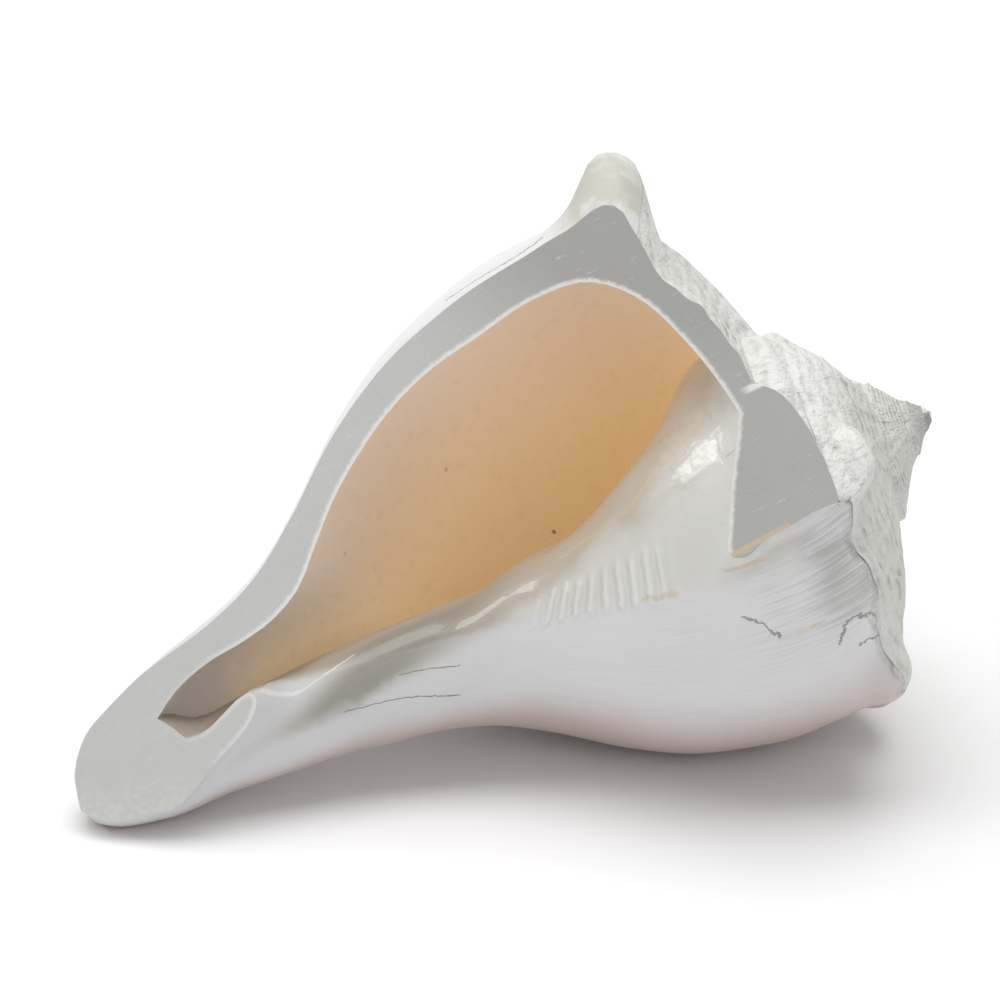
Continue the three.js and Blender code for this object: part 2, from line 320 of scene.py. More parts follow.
    def radius(self, t: Array, a: Array) -> Array:
        """Outer radius without knobs.

        Args:
            t: turn.
            a: axial distance.

        Returns:
            The larger of the flank outline and the canal outline, both scaled by growth, with callus, pad and
            fold added, closed by a blunt round at the canal tip.
        """
        x = a / self.growth.reach(t)
        flank = self.flank.over(np.clip(x, self.shoulder[0], self.length))
        body = self.growth.size(t) * flank * (1 - smooth(150, 175, x))
        curl = 1 - self.lip_curl * smooth(0, 0.12, t) * (1 - smooth(80, 100, x))
        curl = curl * (1 - self.waist(t, x))
        oval = 1 - self.canal_oval + self.canal_oval * np.cos(TAU * t)
        end = smooth(134, 148, a)
        share = self.spout_share.over(np.clip(t, -1.5, 0.25)) * (1 - end) + oval * end
        spout = self.spout.over(np.clip(a, 60, self.length)) * share * smooth(40, 75, a)
        past = (a - self.length) / self.tip_round + 1
        tip = np.sqrt(np.clip(1 - np.clip(past, 0, 1) ** 3, 0, 1))
        raised = self.callus(t, x) + self.swell(t, a) + self.fold(t, a)
        return (soft_max(body * curl, spout, self.canal_join) + raised) * tip

    def knob_height(self, t: Array, spread: Array) -> Array:
        """Height of the shoulder knobs, evenly spaced on the early whorls.

        Args:
            t: turn.
            spread: share of the knobs' height at this distance from the shoulder.

        Returns:
            For each knob a blunt hill: the hyperbolic tangent of a bell curve in turn times spread.
        """
        deg = t * 360.0
        e = self.early_knob
        near = e.at - self.early_step * np.round((e.at - deg) / self.early_step)
        early = deg < e.at + self.early_step / 2
        hills = [(k.height, np.exp(-(((deg - k.at) / k.wide) ** 2))) for k in self.knobs]
        hills.append((e.height, np.where(early, np.exp(-(((deg - near) / e.wide) ** 2)), 0.0)))
        blunt = self.blunt
        total = sum(high * np.tanh(blunt * bell * spread) for high, bell in hills)
        return self.growth.size(t) * total / np.tanh(blunt)

    def section(self, t: Array, rows: "Rows", whole: bool) -> tuple[Array, Array, Array]:
        """Sections of the outside: a ramp from the suture to the shoulder, then the flank to the canal tip.

        Args:
            t: turns of the sections.
            rows: how many rows each stretch has.
            whole: False stops at the next whorl's suture.

        Returns:
            Axial distance and radius, sections by rows by 2; the row's pattern height, 0 to 1 on the ramp,
            then 1 plus a hundredth of the full-size axial distance past the shoulder; and how far the knobs
            lean back, in turns.
        """
        g, t = self.growth, t[:, None]
        join = g.reach(t - 1) * self.suture(t - 1)
        start = np.stack([join, self.radius(t - 1, join)], -1)
        early = smooth(-0.84, -0.97, t)
        top = g.reach(t) * (self.shoulder[0] + 3.0 * early)
        end = np.stack([top, self.radius(t, top)], -1)
        gap = np.linalg.norm(end - start, axis=-1)[..., None]
        leave = np.stack([0.3 + 0.6 * early, 0.95 - 0.45 * early], -1)
        u = np.linspace(0, 1, rows.ramp + 1)[None, :, None]
        ramp = (start * (1 + 2 * u) * (1 - u) ** 2 + gap * leave * u * (1 - u) ** 2
                + end * u * u * (3 - 2 * u) + gap * np.array([0.88, 0.66]) * u * u * (u - 1))
        low = g.reach(t) * self.suture(t)
        a = top + (low - top) * np.linspace(0, 1, rows.short + 1)[None, 1:]
        if whole:
            f = np.linspace(0, 1, rows.flank + 1)[None, 1:]
            f = f ** 1.12
            rest = low + (self.length - low) * f
            rest[:, -1] = self.length - 0.02
            a = np.concatenate([a, rest], 1)
        tt = np.broadcast_to(t, a.shape)
        both = np.concatenate([ramp, np.stack([a, self.radius(tt, a)], -1)], 1)
        row = np.arange(both.shape[1])[None, :]
        on_ramp = row <= rows.ramp
        above = (both[..., 1] / g.size(t) - self.shoulder[1]) / self.knob_above
        below = both[..., 0] / g.reach(t) - self.shoulder[0]
        near, far = (np.exp(-((below / fall) ** 2)) for fall in self.knob_below)
        spread = np.where(on_ramp, np.exp(-(above**2)), 0.85 * near + 0.15 * far)
        h = self.knob_height(t, spread) * np.minimum(1, row / (rows.ramp / 8))
        height = np.where(on_ramp, row / rows.ramp, 1 + 0.01 * below)
        both += h[..., None] * np.array(self.knob_push)
        return both, height, self.lean * h / self.knobs[0].height

    def place(self, a: Array, r: Array, t: Array) -> Array:
        """Points of the growth frame: x back along the axis, y to the lip, z to the ground side."""
        return np.stack([-a, r * np.cos(TAU * t), r * np.sin(TAU * t) + self.bend(a)], -1)

    @property
    def ground_normal(self) -> Array:
        """Unit normal of the ground plane in the growth frame."""
        n = np.array([-self.ground_tilt, self.ground_roll, 1.0])
        return n / np.linalg.norm(n)

    @property
    def rest_turn(self) -> Array:
        """Rows are the world's X, Y and Z in the growth frame, with the axis along X.

        Returns:
            A rotation matrix that takes the growth frame to the resting pose.
        """
        dip, roll = np.radians(self.rest_dip), np.radians(self.rest_roll)
        up = np.array([np.sin(dip), np.cos(dip) * np.sin(roll), np.cos(dip) * np.cos(roll)])
        x = np.array([1.0, 0.0, 0.0]) - up[0] * up
        x /= np.linalg.norm(x)
        return np.stack([x, np.cross(up, x), up])


@dataclass(frozen=True)
class Rows:
    """How finely the surfaces are divided."""

    turn: int = 300
    ramp: int = 30
    short: int = 8
    flank: int = 84
    hollow: int = 48


# ---------------------------------------------------------------- meshes


@dataclass
class Patchwork:
    """Points and faces gathered from grids and fans, with a pattern coordinate on every face corner."""

    points: list[Array] = field(default_factory=list)
    corners: list[Array] = field(default_factory=list)
    coords: list[Array] = field(default_factory=list)
    slots: list[Array] = field(default_factory=list)
    count: int = 0

    def add_points(self, p: Array) -> Array:
        """Adds points and gives their numbers in the same shape.

        Args:
            p: points, in an array whose last side is 3.

        Returns:
            Their numbers.
        """
        flat = p.reshape(-1, 3)
        self.points.append(flat)
        ids = self.count + np.arange(len(flat))
        self.count += len(flat)
        return ids.reshape(p.shape[:-1])

    def add_grid(self, ids: Array, uv: Array, face: Face) -> None:
        """Adds the quads of a grid of point numbers.

        Args:
            ids: point numbers, columns by rows.
            uv: pattern coordinates, columns by rows by 2.
            face: which surface they are.
        """
        for grid, kept, width in ((ids, self.corners, ()), (uv, self.coords, (2,))):
            quads = np.stack([grid[:-1, :-1], grid[1:, :-1], grid[1:, 1:], grid[:-1, 1:]], 2)
            kept.append(quads.reshape((-1, 4) + width))
        self.slots.append(np.full(len(self.corners[-1]), face.value))

    def add_faces(self, corners: Array, uv: Sequence[float], face: Face = Face.OUTSIDE) -> None:
        """Adds loose faces with one pattern coordinate; a triangle has its last corner doubled.

        Args:
            corners: four point numbers a face.
            uv: the coordinate all their corners get.
            face: which surface they are.
        """
        self.corners.append(corners)
        self.coords.append(np.broadcast_to(np.asarray(uv, float), (len(corners), 4, 2)))
        self.slots.append(np.full(len(corners), face.value))

    def mesh(self, name: str, same: Array | None = None) -> bpy.types.Mesh:
        """Makes the Blender mesh.

        Args:
            name: its name.
            same: point numbers to use instead of each point, where points are shared.

        Returns:
            A mesh with faces pointing outwards and the coordinates in the UV map "growth".
        """
        points = np.concatenate(self.points)
        corners = np.concatenate(self.corners)
        if same is not None:
            corners = same[corners]
        uv = np.concatenate(self.coords)
        slots = np.concatenate(self.slots)
        fresh = np.stack([corners[:, k] != corners[:, (k + 1) % 4] for k in range(4)], 1)
        good = fresh.sum(1) >= 3
        corners, uv, slots, fresh = corners[good], uv[good], slots[good], fresh[good]
        p, q, r = points[corners[:, 0]], points[corners[:, 1]], points[corners[:, 2]]
        s = points[corners[:, 3]]
        volume = sum(np.einsum("ij,ij->i", p, np.cross(one, two)).sum() for one, two in ((q, r), (r, s)))
        if volume < 0:
            corners, uv, fresh = corners[:, ::-1], uv[:, ::-1], np.roll(fresh[:, ::-1], -1, axis=1)
        totals = fresh.sum(1)
        loops = corners[fresh]
        used, loops = np.unique(loops, return_inverse=True)
        mesh = bpy.data.meshes.new(name)
        mesh.vertices.add(len(used))
        mesh.vertices.foreach_set("co", (points[used] * MM).astype(np.float32).ravel())
        mesh.loops.add(len(loops))
        mesh.loops.foreach_set("vertex_index", loops.astype(np.int32).ravel())
        mesh.polygons.add(len(totals))
        mesh.polygons.foreach_set("loop_start", (np.cumsum(totals) - totals).astype(np.int32))
        mesh.polygons.foreach_set("material_index", slots.astype(np.int32))
        layer = mesh.uv_layers.new(name="growth")
        layer.uv.foreach_set("vector", uv[fresh].astype(np.float32).ravel())
        mesh.update(calc_edges=True)
        mesh.validate()
        return mesh


@dataclass
class Relief:
    """Fine unevenness of the outside, in millimetres outwards."""

    form: ShellForm
    cord_count: float = 9.0
    cord_height: float = 0.05
    fold_height: float = 0.6
    calm_height: float = 0.10

    def height(self, t: Array, s: Array) -> Array:
        """Growth folds and worn lumps.

        Args:
            t: turn of each point.
            s: pattern height of each point.

        Returns:
            Small heights: strong on the ramp and spire, faint on the flank, none at a suture.
        """
        g = self.form.growth.size(t)
        ramp = 1 - smooth(0.9, 1.06, s)
        cords = np.sin(TAU * self.cord_count * s) * (0.7 + 0.5 * noise(t * 14, s * 3, 3))
        folds = noise(t * 46, s * 2.6, 5) + 0.6 * noise(t * 110, s * 7, 6)
        edge = smooth(0.0, 0.12, s)
        rough = self.cord_height * cords + self.fold_height * folds
        where = smooth(1.05, 1.3, s) * (1 - smooth(2.0, 2.2, s)) * smooth(-0.76, -0.7, t)
        calm = self.calm_height * noise(t * 9, s * 9, 8) * where
        return g * edge * (ramp * rough) + calm


@dataclass
class Outside:
    """The filled outside: the last whorl and the spire inside it, one spiral strip."""

    form: ShellForm
    rows: Rows
    relief: Relief

    def mesh(self) -> bpy.types.Mesh:
        """Builds the strip, the step where it stops, the canal tip and the apex.

        Returns:
            A closed mesh.
        """
        f, rows, work = self.form, self.rows, Patchwork()
        n, shared = rows.turn, rows.ramp + rows.short
        total = n * (f.spire_turns + 1)
        t = f.lip_turn - f.spire_turns - 1 + np.arange(total + 1) / n
        sections = []
        for first, last, whole in ((0, total - n, False), (total - n, total + 1, True)):
            sec, s, lean = f.section(t[first:last], rows, whole)
            tt = np.broadcast_to(t[first:last, None], s.shape)
            lift = self.relief.height(tt, s)
            sec[..., 1] += 0.85 * lift
            sec[..., 0] -= 0.5 * lift * (s < 1.0)
            points = work.add_points(f.place(sec[..., 0], sec[..., 1], tt - lean))
            sections.append((points, np.stack([tt, s], -1)))
        (early, early_uv), (late, late_uv) = sections
        tip = int(work.add_points(np.array([[-f.length, 0.0, float(f.bend(np.array(f.length)))]]))[0])
        loop = np.concatenate([early[:n, 0], [early[n, 0]], early[0, shared - 1:0:-1]])
        middle = np.concatenate(work.points)[loop].mean(0) + [0.9, 0, 0]
        apex = int(work.add_points(middle[None])[0])
        work.add_grid(np.concatenate([early, late[:1, : shared + 1]]),
                      np.concatenate([early_uv, late_uv[:1, : shared + 1]]), Face.OUTSIDE)
        work.add_grid(late, late_uv, Face.OUTSIDE)
        tips = np.full(n, tip)
        work.add_faces(np.stack([late[:-1, -1], late[1:, -1], tips, tips], 1), (0.0, 2.2))
        # the end of the last whorl: a fan over the ramp, a ladder down the flank and one face at the tip
        start, outer, inner = late[0, shared], late[-1], late[0, shared:]
        fan = np.stack([np.full(shared, start), outer[1:shared + 1], outer[:shared], outer[:shared]], 1)
        fan[0, 2:] = start
        work.add_faces(fan, (0.2, 0.5))
        ladder = np.stack([outer[shared:], inner])
        work.add_grid(ladder, np.full((2, len(inner), 2), [0.2, 1.5]), Face.OUTSIDE)
        work.add_faces(np.array([[outer[-1], inner[-1], tip, tip]]), (0.2, 2.2))
        nxt = np.roll(loop, -1)
        work.add_faces(np.stack([np.full(len(loop), apex), nxt, loop, loop], 1), (float(t[0]), 0.5))
        same = np.arange(work.count)
        whole_row = np.concatenate([early[:, : shared + 1], late[:, : shared + 1]])
        same[whole_row[n:, 0]] = whole_row[:-n, shared]
        return work.mesh("outside", same)


@dataclass
class Hollow:
    """The hollow: a tube from deep inside to just past the lip; its inner face is the body it winds round."""

    form: ShellForm
    rows: Rows
    first_turn: float = 0.045
    past_lip: int = 9
    flare: float = 12.0
    touching: float = 0.05

    def _meeting(self, t: Array, start: float, stop: float) -> Array:
        """Shares of the outline where the wall meets the body inside it, found by halving.

        Args:
            t: turns.
            start: end of the outline to search from.
            stop: a share that lies well inside the room.

        Returns:
            One share for each turn.
        """
        f = self.form

        def room(u: Array) -> Array:
            """True where the wall is clear of the body inside it.

            Args:
                u: shares of the outline.

            Returns:
                One truth for each share.
            """
            c = f.hollow.along(u)
            body = f.radius(t - 1, f.growth.reach(t) * c[..., 0])
            return f.growth.size(t) * c[..., 1] - body > self.touching

        outer, inner = np.full_like(t, start), np.full_like(t, stop)
        free = room(outer)
        for _ in range(HALVINGS):
            mid = (outer + inner) / 2
            inside = room(mid)
            inner, outer = np.where(inside, mid, inner), np.where(inside, outer, mid)
        return np.where(free, start, inner)

    def mesh(self) -> bpy.types.Mesh:
        """Builds the tube with its two caps, which are ladders between its outer and inner face.

        Returns:
            A closed mesh.
        """
        f, rows, work = self.form, self.rows, Patchwork()
        g = f.growth
        step = np.arange(int(rows.turn * self.first_turn), rows.turn + self.past_lip)
        t = f.lip_turn - 1 + step / rows.turn
        clear = self.flare * np.maximum(0, t - f.lip_turn)[:, None]
        top, bottom = self._meeting(t, 0.0, 0.25), self._meeting(t, 1.0, 0.7)
        t = t[:, None]
        u = top[:, None] + (bottom - top)[:, None] * np.linspace(0, 1, rows.hollow + 1)[None]
        c = f.hollow.along(u)
        a, r = g.reach(t) * c[..., 0], g.size(t) * c[..., 1]
        r = np.maximum(r, f.radius(t - 1, a) + clear)
        tt = np.broadcast_to(t, a.shape)
        s = np.linspace(0, 1, rows.hollow + 1)[None, :]
        a_in = a[:, -1:] + (a[:, :1] - a[:, -1:]) * s
        t_in = np.broadcast_to(t, a_in.shape) - 1
        r_in = f.radius(t_in, a_in) + clear
        outer = work.add_points(f.place(a, r, tt))
        inner = work.add_points(f.place(a_in, r_in, t_in + 1))
        inner[:, 0], inner[:, -1] = outer[:, -1], outer[:, 0]
        work.add_grid(outer, np.stack([tt, u], -1), Face.HOLLOW)
        work.add_grid(inner, np.stack([t_in, 1 + 0.01 * (a_in / g.reach(t_in) - 36)], -1), Face.OUTSIDE)
        flat = np.full((2, rows.hollow + 1, 2), 0.5)
        work.add_grid(np.stack([inner[0, ::-1], outer[0]]), flat, Face.HOLLOW)
        work.add_grid(np.stack([outer[-1], inner[-1, ::-1]]), flat, Face.HOLLOW)
        return work.mesh("hollow")


@dataclass
class Grinding:
    """A tall block whose foot is a plane: what a flat grinding takes away."""

    name: str
    normal: Array
    offset: float
    face: Face
    spread: float
    step: float
    wave: float
    centre: float = -70.0
    far: float = 3000.0

    def mesh(self) -> bpy.types.Mesh:
        """Builds the plane as a fine grid, very slightly uneven, and closes it to a far point.

        Returns:
            A closed mesh.
        """
        n = self.normal / np.linalg.norm(self.normal)
        side = np.array([1.0, 0.0, 0.0]) - n[0] * n
        side /= np.linalg.norm(side)
        across = np.cross(n, side)
        k = int(2 * self.spread / self.step)
        p = np.linspace(-self.spread, self.spread, k + 1)
        x, y = np.meshgrid(p + self.centre, p, indexing="ij")
        uneven = self.wave * (noise(x / 9, y / 9, 11) + 0.5 * noise(x / 3.1, y / 3.1, 12))
        work = Patchwork()
        flat = x[..., None] * side + y[..., None] * across
        ids = work.add_points((self.offset + uneven)[..., None] * n + flat)
        far = int(work.add_points((n * self.far + self.centre * side)[None])[0])
        work.add_grid(ids[:, ::-1], np.stack([x, y], -1)[:, ::-1], self.face)
        loop = np.concatenate([ids[:-1, 0], ids[-1, :-1], ids[:0:-1, -1], ids[0, :0:-1]])
        nxt = np.roll(loop, -1)
        work.add_faces(np.stack([np.full(len(loop), far), loop, nxt, nxt], 1), (0.0, 0.0), self.face)
        return work.mesh(self.name)


# ---------------------------------------------------------------- finishes


class Signal:
    """A number that varies over a surface: wraps a socket so that shader maths reads as plain expressions."""

    def __init__(self, tree: bpy.types.NodeTree, socket: bpy.types.NodeSocket) -> None:
        """Keeps the tree and the socket."""
        self.tree = tree
        self.socket = socket

    def _math(self, kind: str, *values: Any) -> "Signal":
        """One Math node over this tree, its inputs sockets or plain numbers.

        Args:
            kind: the operation.
            values: signals or numbers.

        Returns:
            Its result.
        """
        node = self.tree.nodes.new("ShaderNodeMath")
        node.operation = kind
        for slot, value in zip(node.inputs, values):
            if isinstance(value, Signal):
                self.tree.links.new(value.socket, slot)
            else:
                slot.default_value = float(value)
        return Signal(self.tree, node.outputs[0])

    def __add__(self, other: Any) -> "Signal":
        """Sum."""
        return self._math("ADD", self, other)

    __radd__ = __add__

    def __sub__(self, other: Any) -> "Signal":
        """Difference."""
        return self._math("SUBTRACT", self, other)

    def __rsub__(self, other: Any) -> "Signal":
        """Difference the other way round."""
        return self._math("SUBTRACT", other, self)

    def __mul__(self, other: Any) -> "Signal":
        """Product."""
        return self._math("MULTIPLY", self, other)

    __rmul__ = __mul__

    def __truediv__(self, other: Any) -> "Signal":
        """Quotient."""
        return self._math("DIVIDE", self, other)

    def __pow__(self, other: Any) -> "Signal":
        """Power."""
        return self._math("POWER", self, other)

    def __abs__(self) -> "Signal":
        """Distance from zero."""
        return self._math("ABSOLUTE", self)

    def sine(self) -> "Signal":
        """Sine of an angle in radians."""
        return self._math("SINE", self)

    def most(self, other: Any) -> "Signal":
        """The larger of two."""
        return self._math("MAXIMUM", self, other)

    def least(self, other: Any) -> "Signal":
        """The smaller of two."""
        return self._math("MINIMUM", self, other)

    def rise(self, low: float, high: float) -> "Signal":
        """Smooth step from 0 at low to 1 at high; low above high makes it fall.

        Args:
            low: where it is 0.
            high: where it is 1.

        Returns:
            The step.
        """
        if low > high:
            return 1.0 - self.rise(high, low)
        node = self.tree.nodes.new("ShaderNodeMapRange")
        node.interpolation_type = "SMOOTHSTEP"
        node.inputs["From Min"].default_value = low
        node.inputs["From Max"].default_value = high
        self.tree.links.new(self.socket, node.inputs["Value"])
        return Signal(self.tree, node.outputs["Result"])

    def hill(self, middle: float, half: float) -> "Signal":
        """1 at the middle, falling smoothly to 0 half a width away on both sides."""
        return abs(self - middle).rise(half, 0.0)


Colour = tuple[float, float, float]


class Dresser:
    """One material being made: its nodes, its patterns and its surface shader."""

    def __init__(self, name: str) -> None:
        """Starts an empty material.

        Args:
            name: its name.
        """
        self.material = bpy.data.materials.new(name)
        self.material.use_nodes = True
        self.tree = self.material.node_tree
        self.tree.nodes.clear()
        self.place = self.node("ShaderNodeTexCoord").outputs["Object"]
        grown = self.node("ShaderNodeSeparateXYZ", {}, {
            "Vector": self.node("ShaderNodeUVMap", {"uv_map": "growth"}).outputs[0]})
        self.turn = Signal(self.tree, grown.outputs[0])
        self.height = Signal(self.tree, grown.outputs[1])
        parts = self.node("ShaderNodeSeparateXYZ", {}, {"Vector": self.place})
        self.along, self.up = Signal(self.tree, parts.outputs[0]), Signal(self.tree, parts.outputs[2])

    def node(self, kind: str, settings: dict[str, Any] | None = None,
             inputs: dict[Any, Any] | None = None) -> Any:
        """Adds any node.

        Args:
            kind: its type name.
            settings: properties set first.
            inputs: values, sockets or signals for its sockets, by name or number.

        Returns:
            The node.
        """
        node = self.tree.nodes.new(kind)
        for key, value in (settings or {}).items():
            setattr(node, key, value)
        for key, value in (inputs or {}).items():
            if isinstance(value, Signal):
                value = value.socket
            if isinstance(value, bpy.types.NodeSocket):
                self.tree.links.new(value, node.inputs[key])
            else:
                node.inputs[key].default_value = value
        return node

    def attribute(self, name: str) -> Signal:
        """A number painted on the mesh."""
        return Signal(self.tree, self.node("ShaderNodeAttribute", {"attribute_name": name}).outputs["Fac"])

    def spot(self, x: Any, y: Any) -> bpy.types.NodeSocket:
        """A point made of two numbers, to look a pattern up at."""
        return self.node("ShaderNodeCombineXYZ", {}, {0: x, 1: y}).outputs[0]

    def shifted(self, by: float) -> bpy.types.NodeSocket:
        """The place on the shell moved by a distance, for a pattern of its own."""
        move = {0: self.place, 1: (by, by, by)}
        return self.node("ShaderNodeVectorMath", {"operation": "ADD"}, move).outputs[0]

    def noise(self, scale: float, detail: float = 3.0, rough: float = 0.55, at: Any = None) -> Signal:
        """Noise from 0 to 1.

        Args:
            scale: lumps a metre, or a unit of at.
            detail: finer layers.
            rough: how strong they are.
            at: where to look it up; the place on the shell by default.

        Returns:
            Its value.
        """
        inputs = {"Vector": self.place if at is None else at}
        inputs.update({"Scale": scale, "Detail": detail, "Roughness": rough})
        return Signal(self.tree, self.node("ShaderNodeTexNoise", {}, inputs).outputs["Fac"])

    def cells(self, scale: float) -> Signal:
        """Distance to the nearest of a scatter of points."""
        inputs = {"Vector": self.place, "Scale": scale}
        return Signal(self.tree, self.node("ShaderNodeTexVoronoi", {}, inputs).outputs["Distance"])

    def blend(self, under: Any, over: Any, share: Any) -> bpy.types.NodeSocket:
        """Colour that goes from one to another.

        Args:
            under: colour at share 0.
            over: colour at share 1.
            share: signal or number.

        Returns:
            The blended colour.
        """
        full = [c if isinstance(c, bpy.types.NodeSocket) else (*c, 1.0) for c in (under, over)]
        inputs = {"Factor": share, "A": full[0], "B": full[1]}
        return self.node("ShaderNodeMix", {"data_type": "RGBA"}, inputs).outputs["Result"]

    def finish(self, colour: Any, rough: Any, bump: Signal | None = None, depth: float = 0.001,
               coat: Any = 0.0, **fixed: Any) -> bpy.types.Material:
        """Joins everything to the surface shader.

        Args:
            colour: base colour.
            rough: roughness.
            bump: relief, 1 being depth high.
            depth: height of the relief in metres.
            coat: weight of a clear coat.
            fixed: constant values of other sockets, with underscores for spaces.

        Returns:
            The finished material.
        """
        inputs = {"Base Color": colour, "Roughness": rough, "Coat Weight": coat}
        inputs.update({key.replace("_", " "): value for key, value in fixed.items()})
        if bump is not None:
            inputs["Normal"] = self.node("ShaderNodeBump", {}, {"Height": bump, "Distance": depth}).outputs[0]
        shader = self.node("ShaderNodeBsdfPrincipled", {}, inputs)
        self.node("ShaderNodeOutputMaterial", {}, {"Surface": shader.outputs[0]})
        return self.material


def linear(red: float, green: float, blue: float) -> Colour:
    """Linear colour of a display colour given from 0 to 255.

    Args:
        red: red share.
        green: green share.
        blue: blue share.

    Returns:
        The colour, each share through the standard display curve.
    """
    c = np.array([red, green, blue]) / 255.0
    c = np.where(c <= 0.04045, c / 12.92, ((c + 0.055) / 1.055) ** 2.4)
    return float(c[0]), float(c[1]), float(c[2])


def off_line(x: Signal, y: Signal, dx: float, dy: float) -> Signal:
    """Distance from a segment that starts at the origin.

    Args:
        x: first coordinate of the place.
        y: second coordinate.
        dx: first coordinate of the segment's end.
        dy: second coordinate.

    Returns:
        Length of what is left after the nearest point of the segment is taken away.
    """
    share = ((x * dx + y * dy) / (dx * dx + dy * dy)).most(0.0).least(1.0)
    return ((x - share * dx) ** 2 + (y - share * dy) ** 2) ** 0.5


# millimetres down the flank for one unit of pattern height, and the radius at which that holds
FLANK_UNIT = 118.0
FLANK_RADIUS = 55.0


@dataclass(frozen=True)
class Stroke:
    """A thin mark on the outside between two places, each a turn and a pattern height.

    around is the radius there in millimetres, wide the half width, stray how far it wanders.
    """

    start: tuple[float, float]
    end: tuple[float, float]
    around: float
    wide: float = 0.25
    stray: float = 1.2

    def mask(self, d: Dresser, stir: tuple[Signal, Signal]) -> Signal:
        """1 on the stroke: distance from a segment, with both coordinates stirred by noise.

        Args:
            d: the material.
            stir: two noises round zero.

        Returns:
            The mask.
        """
        across, along = TAU * self.around, FLANK_UNIT * self.around / FLANK_RADIUS
        x = (d.turn - self.start[0]) * across + stir[0] * self.stray
        y = (d.height - self.start[1]) * along + stir[1] * self.stray
        dx = (self.end[0] - self.start[0]) * across
        dy = (self.end[1] - self.start[1]) * along
        return off_line(x, y, dx, dy).rise(self.wide, self.wide * 0.3)


@dataclass(frozen=True)
class Patterns:
    """What the parts of the outside finish share: noises, then masks that are 1 where their name says."""

    broad: Signal
    fine: Signal
    lumps: Signal
    cloud: Signal
    growth: Signal
    stir: tuple[Signal, Signal]
    chalky: Signal
    glazed: Signal
    thin: Signal
    top: Signal
    ripple: Signal
    crack: Signal
    tan: Signal


